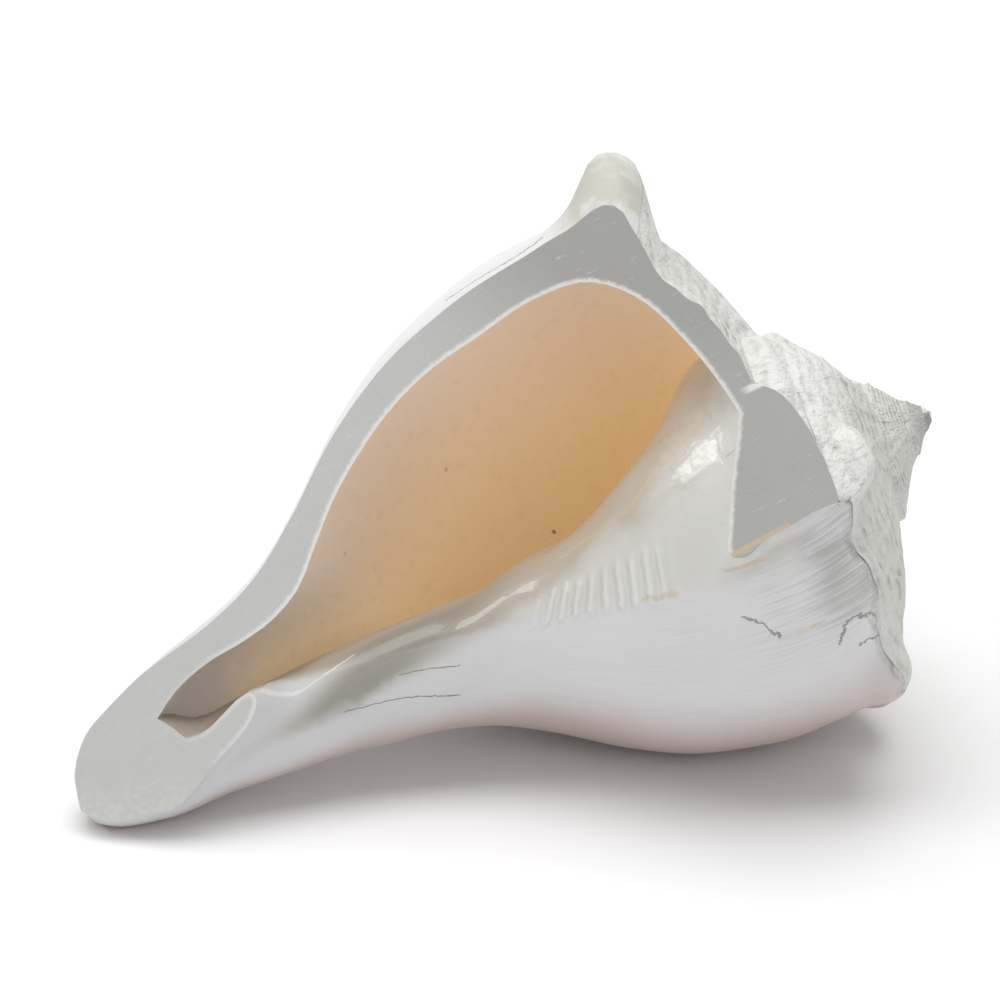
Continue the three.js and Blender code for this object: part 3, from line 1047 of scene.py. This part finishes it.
@dataclass(frozen=True)
class OutsideFinish:
    """Chalky spire and shoulder, polished body, and glaze beside the mouth."""

    chalk: Colour = linear(226, 226, 222)
    dull: Colour = linear(213, 212, 206)
    # grey for the hollows and pits of the chalk: partly grime, partly painted shade
    grime_and_shade: Colour = linear(143, 144, 136)
    body: Colour = linear(219, 218, 220)
    grown: Colour = linear(206, 204, 205)
    banded: Colour = linear(186, 187, 187)
    # pink of the underside, darkened as partly painted shade
    blush_and_shade: Colour = linear(190, 172, 166)
    glaze: Colour = linear(212, 211, 205)
    glaze_pink: Colour = linear(188, 178, 164)
    cream: Colour = linear(192, 190, 178)
    pale: Colour = linear(210, 210, 206)
    bright: Colour = linear(230, 229, 230)
    streak: Colour = linear(206, 198, 186)
    # painted shade: darker colour for the flank towards the glaze edge
    shade: Colour = linear(204, 204, 206)
    # pale colour for painted highlights on the canal's ridge and on the crests of the ripples
    ridge_highlight: Colour = linear(236, 236, 232)
    # painted shade for the canal's groove
    groove_shade: Colour = linear(146, 133, 118)
    # a darker grey for a patch near the shoulder
    grey_patch: Colour = linear(176, 175, 171)
    peach: Colour = linear(226, 176, 130)
    # darker grey-green of the canal fold: partly the thin glaze, partly painted shade
    clear: Colour = linear(136, 133, 121)
    tan: Colour = linear(206, 172, 128)
    straw: Colour = linear(206, 190, 156)
    dark: Colour = linear(112, 106, 96)
    depth: float = 0.0011
    tan_lines: tuple[Stroke, ...] = (
        Stroke((-0.704, 1.34), (-0.70, 1.16), 33, 0.6, 0.9),
        Stroke((-0.634, 1.25), (-0.635, 1.13), 33, 0.5, 0.9),
    )
    straw_lines: tuple[Stroke, ...] = (
        Stroke((-0.837, 1.30), (-0.799, 1.58), 26, 0.5, 2.2),
        Stroke((-0.799, 1.58), (-0.806, 1.82), 18, 0.5, 2.2),
        Stroke((-0.70, 1.56), (-0.698, 1.48), 32, 0.8, 3.0),
    )
    # the line of the painted highlight on the ridge beside the canal
    canal_ridge_highlight: tuple[Stroke, ...] = (
        Stroke((-0.83, 2.82), (-0.80, 2.66), 15, 0.6, 0.8),
        Stroke((-0.80, 2.66), (-0.845, 2.55), 16, 0.5, 0.8),
    )
    cracks: tuple[Stroke, ...] = (
        Stroke((-0.662, 1.323), (-0.655, 1.285), 33, 0.2, 2.6),
        Stroke((-0.655, 1.285), (-0.637, 1.245), 33, 0.2, 2.6),
        Stroke((-0.609, 1.104), (-0.627, 1.074), 33, 0.24, 2.6),
        Stroke((-0.627, 1.074), (-0.621, 1.03), 33, 0.3, 2.6),
        Stroke((-0.621, 1.03), (-0.600, 0.98), 33, 0.22, 2.6),
        Stroke((-0.596, 1.051), (-0.584, 0.984), 33, 0.18, 2.4),
        Stroke((0.046, 1.30), (0.062, 1.12), 54, 0.22, 1.6),
        Stroke((0.075, 1.22), (0.078, 1.10), 54, 0.2, 1.2),
        Stroke((-0.668, 2.361), (-0.596, 1.988), 18, 0.12, 0.9),
        Stroke((-0.703, 2.237), (-0.668, 2.04), 18, 0.1, 0.9),
    )

    def _any(self, d: Dresser, strokes: Sequence[Stroke], stir: tuple[Signal, Signal]) -> Signal:
        """1 on any of the strokes, which share one stirring.

        Args:
            d: the material.
            strokes: the marks.
            stir: two noises round zero.

        Returns:
            The mask.
        """
        mask = strokes[0].mask(d, stir)
        for stroke in strokes[1:]:
            mask = mask.most(stroke.mask(d, stir))
        return mask

    def _patterns(self, d: Dresser) -> Patterns:
        """Makes the noises and the masks that say which kind of surface lies where.

        Args:
            d: the material.

        Returns:
            All of them.
        """
        t, s = d.turn, d.height
        lumps = d.noise(140, 4)
        spike = 0.3 * t.hill(0.062, 0.045) * s.rise(0.75, 0.98)
        shoulder = (s + spike + 0.09 * (d.noise(85, 4) - 0.5)).rise(1.02, 0.985)
        past = (s - 1.42).most(0.0)
        glazed = (t + 0.095 * past * past + 0.03 * (lumps - 0.5)).rise(-0.674, -0.712)
        thin = t.rise(-0.93, -0.83) * (t + 0.1 * (lumps - 0.5)).rise(-0.62, -0.72)
        ripple = (s * 160.0 + 4.0 * (lumps - 0.5)).sine() * 0.5 + 0.5
        ripple = ripple * t.rise(-0.76, -0.735) * t.rise(-0.685, -0.70)
        top = (d.up + 0.006 * (lumps - 0.5)).rise(0.0935, 0.0985)
        stir = (d.noise(800, 3, 0.65) - 0.5, d.noise(760, 3, 0.65, at=d.shifted(0.3)) - 0.5)
        return Patterns(
            broad=d.noise(28, 3),
            fine=d.noise(650, 4),
            lumps=lumps,
            cloud=d.noise(75, 4),
            growth=d.noise(1.0, 4, 0.6, at=d.spot(t * 420, s * 5)),
            stir=stir,
            chalky=shoulder.most(t.rise(-0.79, -0.82) * s.rise(1.13, 1.10)),
            glazed=glazed * s.rise(1.1, 1.16),
            thin=thin * s.rise(1.78, 2.35) * s.rise(2.72, 2.45),
            top=top * t.rise(-0.2, -0.1),
            ripple=ripple * s.rise(1.44, 1.52) * s.rise(1.9, 1.8),
            crack=self._any(d, self.cracks, stir),
            tan=self._any(d, self.tan_lines, stir) * lumps.rise(0.3, 0.7) * 0.8,
        )

    def _body(self, d: Dresser, p: Patterns) -> bpy.types.NodeSocket:
        """Colour of the polished body: faint growth lines, painted shade darker towards the glaze, and a pink
        blush underneath that is partly painted shade.

        Args:
            d: the material.
            p: its shared patterns.

        Returns:
            The colour.
        """
        t, s = d.turn, d.height
        lines = (p.growth * 0.6 + p.broad * 0.6).rise(0.5, 0.85)
        colour = d.blend(self.body, self.grown, lines * 0.55)
        # painted shade: darker further down the flank, towards the glaze edge
        colour = d.blend(colour, self.shade, s.rise(1.65, 2.1) * 0.7)
        colour = d.blend(colour, self.bright, t.rise(-0.1, 0.05) * s.rise(2.0, 1.6))
        colour = d.blend(colour, self.streak, lines * t.rise(-0.5, -0.35) * 0.35)
        # the underside: a real pink blush, darkened as partly painted shade
        under = t.rise(-0.6, -0.49) * t.rise(-0.15, -0.35)
        colour = d.blend(colour, self.blush_and_shade, under * (0.6 + 0.6 * p.broad))
        striped = t.rise(-0.73, -0.7) * t.rise(-0.6, -0.63) * s.rise(1.36, 1.2)
        return d.blend(colour, self.banded, striped * p.growth.rise(0.45, 0.7) * 0.5)

    def _glaze(self, d: Dresser, p: Patterns, colour: bpy.types.NodeSocket) -> bpy.types.NodeSocket:
        """Lays the glaze over: pinker, then peach towards the inside, and a darker grey-green on the canal
        fold that is partly the thin glaze and partly painted shade.

        Args:
            d: the material.
            p: its shared patterns.
            colour: the body's colour.

        Returns:
            The colour with the glaze, a painted highlight on the canal's ridge, painted shade in the canal's
            groove and a darker grey patch near the shoulder.
        """
        t, s = d.turn, d.height
        near = (0.14 * (s - 1.3) - 0.8 - t) * 8.0
        inner = t.rise(-0.84, -0.98) * s.rise(1.1, 1.2) * s.rise(2.3, 1.7)
        glaze = d.blend(self.glaze, self.glaze_pink, (p.cloud + near).rise(0.45, 0.95))
        # darker grey-green on the canal fold: partly the thin glaze, partly painted shade
        glaze = d.blend(glaze, self.clear, p.thin * (0.7 + 0.3 * p.cloud))
        glaze = d.blend(glaze, self.peach, inner * 0.5)
        colour = d.blend(colour, glaze, p.glazed.most(p.thin * 0.9))
        # painted highlight along the canal's ridge
        colour = d.blend(colour, self.ridge_highlight, self._any(d, self.canal_ridge_highlight, p.stir) * 0.6)
        # painted shade: darker brown-grey in the canal's groove
        colour = d.blend(colour, self.groove_shade, t.rise(-0.80, -0.83) * s.rise(2.72, 2.95) * 0.9)
        # a darker grey patch near the shoulder, mottled by noise
        grey_patch = t.rise(-0.725, -0.70) * t.rise(-0.61, -0.635) * s.rise(1.17, 1.08)
        grey_patch = grey_patch * (p.growth * 0.6 + p.cloud * 0.7).rise(0.5, 0.78)
        return d.blend(colour, self.grey_patch, grey_patch * 0.8)

    def _chalk(self, d: Dresser, p: Patterns) -> tuple[bpy.types.NodeSocket, Signal]:
        """The chalky surface, darker between its cords and in its pits: partly grime, partly painted shade.

        Args:
            d: the material.
            p: its shared patterns.

        Returns:
            Its colour and its relief.
        """
        t, s = d.turn, d.height
        cord = (s * (9.0 * TAU) + 9.0 * (p.lumps - 0.5) + 14.0 * (p.broad - 0.5)).sine() * 0.5 + 0.5
        folds = 0.45 * d.noise(1.0, 4, 0.6, at=d.spot(t * 52, s * 2.5))
        folds = folds + 0.55 * d.noise(230, 3, 0.55, at=d.shifted(0.7))
        hollows = (cord * 0.3 + folds * 1.1 + 0.35 * p.fine).rise(0.86, 0.42)
        pits = (d.cells(190) + 0.2 * (p.fine - 0.5)).rise(0.2, 0.06) * d.noise(60, 2).rise(0.54, 0.66)
        # darker in the hollows and pits: partly grime, partly painted shade
        dirt_and_shade = hollows * d.noise(55, 3).rise(0.33, 0.62) * 0.9
        chalk = d.blend(self.chalk, self.dull, p.broad.rise(0.4, 0.7))
        chalk = d.blend(chalk, self.grime_and_shade, dirt_and_shade.most(pits * 0.6))
        return chalk, 0.14 * cord + 2.0 * folds + 0.6 * p.fine - 0.9 * pits

    def _marks(self, d: Dresser, p: Patterns, colour: bpy.types.NodeSocket) -> bpy.types.NodeSocket:
        """Lays the cream tip of the spike, painted highlights on the ripples of the glaze, the stains and the
        cracks on top.

        Args:
            d: the material.
            p: its shared patterns.
            colour: what they lie on.

        Returns:
            The finished colour.
        """
        cream = d.blend(self.cream, self.pale, p.lumps.rise(0.4, 0.6))
        colour = d.blend(colour, cream, p.top * (1.0 - 0.8 * p.chalky))
        # painted highlights on the crests of the glaze's ripples
        colour = d.blend(colour, self.ridge_highlight, p.ripple * (0.2 + 0.5 * p.cloud))
        colour = d.blend(colour, self.tan, p.tan)
        straw = self._any(d, self.straw_lines, p.stir)
        colour = d.blend(colour, self.straw, straw * (0.3 + 0.5 * p.lumps))
        return d.blend(colour, self.dark, p.crack * (0.25 + 0.6 * p.fine))

    def make(self) -> bpy.types.Material:
        """Lays the kinds of surface over each other by where they lie on the whorl.

        Returns:
            The material.
        """
        d = Dresser("outside")
        t, s, p = d.turn, d.height, self._patterns(d)
        chalk, chalk_relief = self._chalk(d, p)
        colour = d.blend(self._glaze(d, p, self._body(d, p)), chalk, p.chalky)
        colour = self._marks(d, p, colour)
        # a patch of small dents breaks up the shine of the glaze
        broken = t.rise(-0.87, -0.84) * t.rise(-0.78, -0.80) * s.rise(1.2, 1.26) * s.rise(1.5, 1.42)
        broken = broken * d.noise(270, 2)
        spiral = d.noise(1.0, 3, 0.5, at=d.spot(t * 9, s * 90))
        smooth_relief = (0.05 * p.growth + 0.03 * spiral + 0.35 * p.ripple + 0.2 * p.glazed * p.lumps
                         + 0.5 * broken + 0.3 * p.top * p.lumps - 0.35 * p.crack - 0.05 * p.tan)
        relief = p.chalky * chalk_relief + (1.0 - p.chalky) * smooth_relief
        rough = 0.3 + 0.12 * (p.growth - 0.5) - 0.16 * p.glazed + 0.5 * p.chalky.most(p.top)
        coat = 0.6 * p.glazed * (1.0 - p.chalky)
        return d.finish(colour, rough + 0.1 * p.crack, relief, self.depth, coat)


@dataclass(frozen=True)
class HollowFinish:
    """Smooth inside of the wall, pale by the lip and deep peach further in, with a few dark specks and a
    painted glow.
    """

    lip: Colour = linear(234, 226, 216)
    deep: Colour = linear(247, 228, 190)
    drain: Colour = linear(206, 200, 193)
    freckle: Colour = linear(226, 188, 148)
    speck: Colour = linear(96, 66, 42)
    # painted glow: emission colours and strength for the hollow, standing in for light through the wall
    glow_lip: Colour = (0.8, 0.66, 0.54)
    glow_deep: Colour = (1.0, 0.66, 0.32)
    glow_drain: Colour = (0.5, 0.45, 0.41)
    unlit: Colour = (0.0, 0.0, 0.0)
    glow: float = 0.19
    dimmest: float = 0.36
    depth: float = 0.00012
    specks: tuple[tuple[float, float, float], ...] = ((-0.216, 0.427, 0.9), (-0.128, 0.505, 0.4),
                                                      (-0.071, 0.691, 0.35))

    def make(self) -> bpy.types.Material:
        """Runs from the lip colour to the deep one along the turn, with a painted glow: emission, brighter
        higher up, that stands in for daylight through the wall.

        Returns:
            The material.
        """
        d = Dresser("hollow")
        inward = (d.turn + 0.05 * (d.noise(30, 3) - 0.5)).rise(-0.04, -0.2)
        mottle = d.noise(500, 3)
        canal = (d.along + 0.012 * (d.noise(60, 3) - 0.5)).rise(-0.036, -0.057)
        colour = d.blend(d.blend(self.lip, self.deep, inward), self.drain, canal)
        colour = d.blend(colour, self.freckle, mottle.rise(0.5, 0.8) * 0.3)
        for turn, share, dark in self.specks:
            off = ((d.turn - turn) * 250.0) ** 2 + ((d.height - share) * 150.0) ** 2
            colour = d.blend(colour, self.speck, off.rise(0.3, 0.04) * dark)
        relief = d.noise(1.0, 3, 0.5, at=d.spot(d.turn * 60, d.height * 6))
        # painted glow: emission that is brighter higher up and dimmer and greyer in the canal
        glow = d.blend(d.blend(self.glow_lip, self.glow_deep, inward), self.glow_drain, canal)
        lit = (0.6 * d.along + d.up).rise(0.01, 0.078)
        glow = d.blend(self.unlit, glow, self.dimmest + (1.0 - self.dimmest) * lit)
        return d.finish(colour, 0.32 + 0.1 * mottle, relief, self.depth, 0.1, Emission_Color=glow,
                        Emission_Strength=self.glow)


@dataclass(frozen=True)
class GroundFinish:
    """Matte grey of the wall laid open by flat grinding."""

    name: str = "ground"
    face: Colour = linear(191, 191, 189)
    # darker grey of the painted shade towards the spike
    deep: Colour = linear(160, 159, 155)
    score: Colour = linear(148, 147, 142)
    # pale grey of the layer lines and the old suture, and of the painted highlight along the rim
    edge: Colour = linear(232, 231, 228)
    cream: Colour = linear(218, 216, 204)
    tan: Colour = linear(212, 182, 140)
    depth: float = 0.00012

    def make(self) -> bpy.types.Material:
        """Fine scratches and faint layer lines, painted shade darker towards the spike, a painted highlight
        along the mouth-side rim and a few marks.

        Returns:
            The material.
        """
        d = Dresser(self.name)
        along, up = d.along, d.up
        cloud, grain = d.noise(60, 3), d.noise(900, 3)
        # painted shade: the flat face darkens towards the spike and higher up
        shade = along.rise(-0.03, 0.03) * 0.75 + up.rise(0.078, 0.094) * 0.45 + 0.3 * (cloud - 0.5)
        colour = d.blend(self.face, self.deep, shade.most(0.0).least(1.3))
        layers = d.noise(1.0, 3, 0.6, at=d.spot(d.turn * 0.25 + cloud * 3.0, d.height * 0.9))
        brushed = d.spot(d.turn * 3.2 + d.height * 1.1, d.height * 0.12 - d.turn * 0.04)
        scratch = d.noise(1.0, 3, 0.6, at=brushed)
        colour = d.blend(colour, self.edge, layers.rise(0.62, 0.75) * 0.25)
        colour = d.blend(colour, self.score, scratch.rise(0.6, 0.75) * 0.2)
        # painted highlight: a pale line along the face's edges beside the mouth
        rim_highlight = (d.attribute("rim_highlight") * (0.5 + grain)).rise(0.3, 0.8) * along.rise(-0.065, -0.035)
        colour = d.blend(colour, self.edge, rim_highlight * 0.7)
        # the coordinates are millimetres on the plane: the old suture, then a tan stain along the pad's edge
        x, y = d.turn + 22.6 + 1.2 * (grain - 0.5), d.height - 11.95 + 1.2 * (cloud - 0.5)
        suture = off_line(x, y, 5.4, -0.2).rise(0.85, 0.35) * x.rise(0.2, 2.5)
        colour = d.blend(colour, self.edge, suture * 0.85)
        x, y = d.turn + 34.6 + 1.2 * (grain - 0.5), d.height + 11.8 + 1.6 * (cloud - 0.5)
        stain = off_line(x, y, 10.2, 0.1).rise(0.7, 0.2) * cloud.rise(0.25, 0.6)
        colour = d.blend(colour, self.tan, stain * 0.7)
        worn = along.rise(-0.052, -0.062) * (up + 0.012 * (cloud - 0.5)).rise(0.013, 0.006)
        worn = worn * grain.rise(0.35, 0.65)
        colour = d.blend(colour, self.cream, worn * 0.4)
        return d.finish(colour, 0.55 + 0.2 * cloud, 0.5 * scratch + 0.5 * layers, self.depth)


# ---------------------------------------------------------------- the shell


@dataclass
class Shell:
    """The finished shell: the filled outside, less the hollow, the ground face and the worn foot."""

    form: ShellForm = field(default_factory=ShellForm)
    rows: Rows = field(default_factory=Rows)
    foot_colour: Colour = linear(214, 212, 208)
    sharp_angle: float = 32.0
    rim_wide: float = 1.5
    rim_parts: int = 64
    glaze_from: tuple[float, float] = (-0.72, 1.15)
    shift: Array = field(default_factory=lambda: np.zeros(3))

    def _object(self, mesh: bpy.types.Mesh, materials: Sequence[bpy.types.Material]) -> bpy.types.Object:
        """Puts a mesh with the four finishes into the scene.

        Args:
            mesh: the mesh.
            materials: the finishes, in the order of Face.

        Returns:
            The new object.
        """
        for material in materials:
            mesh.materials.append(material)
        piece = bpy.data.objects.new(mesh.name, mesh)
        bpy.context.scene.collection.objects.link(piece)
        return piece

    def build(self) -> bpy.types.Object:
        """Cuts the hollow, the ground face and the foot out of the filled outside and lays the shell down.

        Returns:
            The shell, at its resting place.
        """
        f = self.form
        height = f.ground_height + f.ground_tilt * f.ground_at
        offset = height / np.linalg.norm([f.ground_tilt, f.ground_roll, 1.0])
        turn = f.rest_turn
        meshes = [
            Outside(f, self.rows, Relief(f)).mesh(),
            Hollow(f, self.rows).mesh(),
            Grinding("ground", f.ground_normal, offset, Face.GROUND, 120.0, 0.8, 0.04).mesh(),
            Grinding("foot", -turn[2], f.rest_under, Face.FOOT, 130.0, 4.0, 0.03).mesh(),
        ]
        finishes = [OutsideFinish().make(), HollowFinish().make(), GroundFinish().make(),
                    GroundFinish("foot", self.foot_colour).make()]
        body, *cutters = [self._object(mesh, finishes) for mesh in meshes]
        for cutter in cutters:
            cut = body.modifiers.new(cutter.name, "BOOLEAN")
            cut.operation, cut.solver, cut.object = "DIFFERENCE", "MANIFOLD", cutter
        graph = bpy.context.evaluated_depsgraph_get()
        done = bpy.data.meshes.new_from_object(body.evaluated_get(graph))
        for piece in (body, *cutters):
            bpy.data.objects.remove(piece)
        done.name = "shell"
        self._lay_down(done, turn)
        self._mark_rim_highlight(done)
        done.shade_smooth()
        done.set_sharp_from_angle(angle=float(np.radians(self.sharp_angle)))
        shell = bpy.data.objects.new("whelk_shell", done)
        bpy.context.scene.collection.objects.link(shell)
        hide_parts("shell")
        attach(shell, "root")
        LOG.info("shell: %d points, %d faces", len(done.vertices), len(done.polygons))
        return shell

    @staticmethod
    def _read(items: Any, name: str, kind: type, width: int = 1) -> Array:
        """One property of many mesh items: a list of values, or of rows where width is over 1.

        Args:
            items: vertices, loops, faces or map points.
            name: the property.
            kind: type of its numbers.
            width: numbers an item.

        Returns:
            The values.
        """
        values = np.empty(len(items) * width, kind)
        items.foreach_get(name, values)
        return values if width == 1 else values.reshape(-1, width)

    def _lay_down(self, mesh: bpy.types.Mesh, turn: Array) -> None:
        """Turns the points to the resting pose, foot on the floor and its box over the origin.

        Args:
            mesh: the mesh, in the growth frame.
            turn: rotation to the resting pose.
        """
        points = self._read(mesh.vertices, "co", np.float32, 3) @ turn.T
        low, high = points.min(0), points.max(0)
        self.shift = np.array([-(low[0] + high[0]) / 2, -(low[1] + high[1]) / 2, self.form.rest_under * MM])
        mesh.vertices.foreach_set("co", (points + self.shift).astype(np.float32).ravel())
        mesh.update()

    def _mark_rim_highlight(self, mesh: bpy.types.Mesh) -> None:
        """Paints the rim attribute, the mask of a painted highlight: 1 on the mouth-side edges of the ground
        face, 0 from a rim's width away.

        Args:
            mesh: the mesh, at rest.
        """
        totals = self._read(mesh.polygons, "loop_total", np.int32)
        slot = np.repeat(self._read(mesh.polygons, "material_index", np.int32), totals)
        corner = self._read(mesh.loops, "vertex_index", np.int32)
        points = self._read(mesh.vertices, "co", np.float32, 3)
        turn, height = self._read(mesh.uv_layers["growth"].uv, "vector", np.float32, 2).T
        last, lowest = self.glaze_from
        glaze = (slot == Face.OUTSIDE.value) & (turn < last) & (height > lowest)
        on_ground, beside = np.zeros((2, len(points)), bool)
        on_ground[corner[slot == Face.GROUND.value]] = True
        beside[corner[(slot == Face.HOLLOW.value) | glaze]] = True
        edge, inside = points[on_ground & beside].astype(float), np.flatnonzero(on_ground)
        rim_highlight = np.zeros(len(points), np.float32)
        for part in np.array_split(inside, self.rim_parts):
            gap = np.linalg.norm(points[part, None].astype(float) - edge[None], axis=2).min(1)
            rim_highlight[part] = np.clip(1.0 - gap / (self.rim_wide * MM), 0.0, 1.0)
        mesh.attributes.new("rim_highlight", "FLOAT", "POINT").data.foreach_set("value", rim_highlight)

    def where(self, a: float, v: float, w: float) -> Vector:
        """A point of the growth frame, in millimetres, as a place in the scene."""
        return Vector(self.form.rest_turn @ np.array([-a, v, w]) * MM + self.shift)


# ---------------------------------------------------------------- the studio


@dataclass(frozen=True)
class Lamp:
    """A soft rectangular light aimed at a point."""

    name: str
    place: tuple[float, float, float]
    size: tuple[float, float]
    power: float
    colour: Colour = (1.0, 1.0, 1.0)

    def make(self, target: Vector) -> None:
        """Adds the light, facing the target.

        Args:
            target: where it points.
        """
        light = bpy.data.lights.new(self.name, "AREA")
        light.shape = "RECTANGLE"
        light.size, light.size_y = self.size
        light.energy = self.power
        light.color = self.colour
        lamp = bpy.data.objects.new(self.name, light)
        lamp.location = self.place
        lamp.rotation_euler = (target - Vector(self.place)).to_track_quat("-Z", "Y").to_euler()
        bpy.context.scene.collection.objects.link(lamp)


@dataclass(frozen=True)
class Studio:
    """Pale floor, pale air, soft lights and the camera."""

    lamps: tuple[Lamp, ...] = (
        Lamp("overhead", (0.0, 0.15, 1.1), (1.2, 1.0), 10.5),
        Lamp("front", (0.3, -1.2, 0.9), (0.7, 0.5), 2.6),
        Lamp("window", (-0.74, 0.03, 0.74), (0.34, 0.22), 1.3),
    )
    air: float = 0.42
    aim: tuple[float, float, float] = (73.28, 17.6, 0.0)
    distance: float = 1.5
    lens: float = 316.6
    camera_tilt: float = 25.0
    middle: tuple[float, float, float] = (0.0, 0.0, 0.05)
    floor_side: float = 4.0
    floor_grey: float = 0.9

    def floor(self) -> None:
        """A wide plain floor under pale air."""
        mesh = bpy.data.meshes.new("floor")
        side, grey = self.floor_side, self.floor_grey
        corners = [(-side, -side, 0), (side, -side, 0), (side, side, 0), (-side, side, 0)]
        mesh.from_pydata(corners, [], [(0, 1, 2, 3)])
        mesh.materials.append(Dresser("floor").finish((grey, grey, grey, 1.0), 0.9))
        floor = bpy.data.objects.new("floor", mesh)
        bpy.context.scene.collection.objects.link(floor)
        world = bpy.data.worlds.new("air")
        world.use_nodes = True
        sockets = world.node_tree.nodes["Background"].inputs
        sockets["Color"].default_value = (1.0, 1.0, 1.0, 1.0)
        sockets["Strength"].default_value = self.air
        bpy.context.scene.world = world

    def camera(self, shell: Shell) -> None:
        """A long lens that looks along the ground side of the growth frame, the canal to the lower left.

        Args:
            shell: the shell it aims at.
        """
        turn = shell.form.rest_turn
        back = np.array([0.0, 0.0, 1.0])
        tilt = np.radians(self.camera_tilt)
        up = np.array([np.sin(tilt), np.cos(tilt), 0.0])
        right = np.cross(up, back)
        axes = turn @ np.stack([right, up, back], 1)
        camera = bpy.data.objects.new("camera", bpy.data.cameras.new("camera"))
        camera.data.lens = self.lens
        camera.data.clip_end = 20.0
        place = shell.where(*self.aim) + Vector(axes[:, 2]) * self.distance
        camera.matrix_world = Matrix.Translation(place) @ Matrix(axes.tolist()).to_4x4()
        bpy.context.scene.collection.objects.link(camera)
        bpy.context.scene.camera = camera

    def build(self, shell: Shell) -> None:
        """Sets up floor, lights, camera and plain tone.

        Args:
            shell: the shell, already built.
        """
        self.floor()
        for lamp in self.lamps:
            lamp.make(Vector(self.middle))
        self.camera(shell)
        bpy.context.scene.view_settings.view_transform = "Standard"
        LOG.info("studio: %d lamps", len(self.lamps))


def main() -> None:
    """Builds the shell and its studio."""
    logging.basicConfig(level=logging.INFO, format="%(name)s: %(message)s")
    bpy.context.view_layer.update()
    shell = Shell()
    shell.build()
    Studio().build(shell)


if __name__ == "__main__":
    main()
